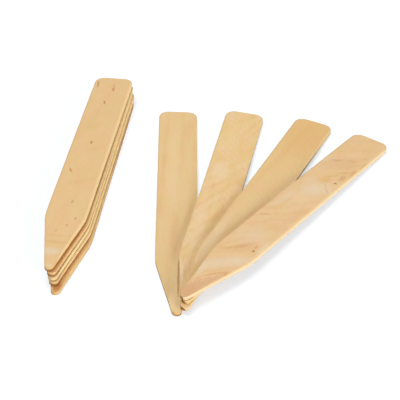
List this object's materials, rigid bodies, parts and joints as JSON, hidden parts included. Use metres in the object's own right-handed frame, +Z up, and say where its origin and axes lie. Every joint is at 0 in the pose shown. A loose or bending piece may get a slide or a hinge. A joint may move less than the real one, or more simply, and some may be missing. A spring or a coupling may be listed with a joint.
{
  "type": "plant label stake",
  "caption": "Set of flat pointed wooden plant label stakes with rounded written ends, some in a neat pile and some fanned out beside it.",
  "frame": {"origin": "on the table, under the middle of the whole set", "axes": "+Z up off the table, +Y from the points towards the written ends, +X from the pile towards the fan"},
  "size_m": [0.1526, 0.169, 0.0096],
  "materials": {
    "veneer_straw": "sanded birch veneer, straw yellow with a fine straight grain",
    "veneer_cream": "sanded birch veneer, pale cream with a soft mottle",
    "veneer_honey": "sanded birch veneer, honey orange and even",
    "veneer_rose": "sanded birch veneer, pinkish with a curved growth figure and small knots",
    "veneer_flecked": "sanded birch veneer, straw yellow with short brown pith flecks"
  },
  "bodies": {
    "pile_stake_1": {"pile_stake_1": "veneer_straw"},
    "pile_stake_2": {"pile_stake_2": "veneer_honey"},
    "pile_stake_3": {"pile_stake_3": "veneer_cream"},
    "pile_stake_4": {"pile_stake_4": "veneer_straw"},
    "pile_stake_5": {"pile_stake_5": "veneer_flecked"},
    "fan_stake_1": {"fan_stake_1": "veneer_straw"},
    "fan_stake_2": {"fan_stake_2": "veneer_cream"},
    "fan_stake_3": {"fan_stake_3": "veneer_honey"},
    "fan_stake_4": {"fan_stake_4": "veneer_rose"}
  },
  "joints": [
    {"name": "pile_stake_2_lift", "type": "slide", "parent": "pile_stake_1", "child": "pile_stake_2", "axis": [0, 0, 1], "range_m": [0, 0.05]},
    {"name": "pile_stake_3_lift", "type": "slide", "parent": "pile_stake_2", "child": "pile_stake_3", "axis": [0, 0, 1], "range_m": [0, 0.05]},
    {"name": "pile_stake_4_lift", "type": "slide", "parent": "pile_stake_3", "child": "pile_stake_4", "axis": [0, 0, 1], "range_m": [0, 0.05]},
    {"name": "pile_stake_5_lift", "type": "slide", "parent": "pile_stake_4", "child": "pile_stake_5", "axis": [0, 0, 1], "range_m": [0, 0.05]},
    {"name": "fan_lift", "type": "slide", "parent": "pile_stake_1", "child": "fan_stake_1", "axis": [0, 0, 1], "range_m": [0, 0.05]},
    {"name": "fan_stake_2_swing", "type": "hinge", "parent": "fan_stake_1", "child": "fan_stake_2", "pos_m": [-0.01611, -0.08145, 0.00198], "axis": [0.0528, 0.0002, 0.9986], "range_deg": [0, 11.1]},
    {"name": "fan_stake_3_swing", "type": "hinge", "parent": "fan_stake_2", "child": "fan_stake_3", "pos_m": [-0.0155, -0.0791, 0.00364], "axis": [0.0525, 0.0003, 0.9986], "range_deg": [0, 13.2]},
    {"name": "fan_stake_4_swing", "type": "hinge", "parent": "fan_stake_3", "child": "fan_stake_4", "pos_m": [-0.01588, -0.07912, 0.00549], "axis": [0.0644, -0.0051, 0.9979], "range_deg": [0, 11.8]}
  ]
}
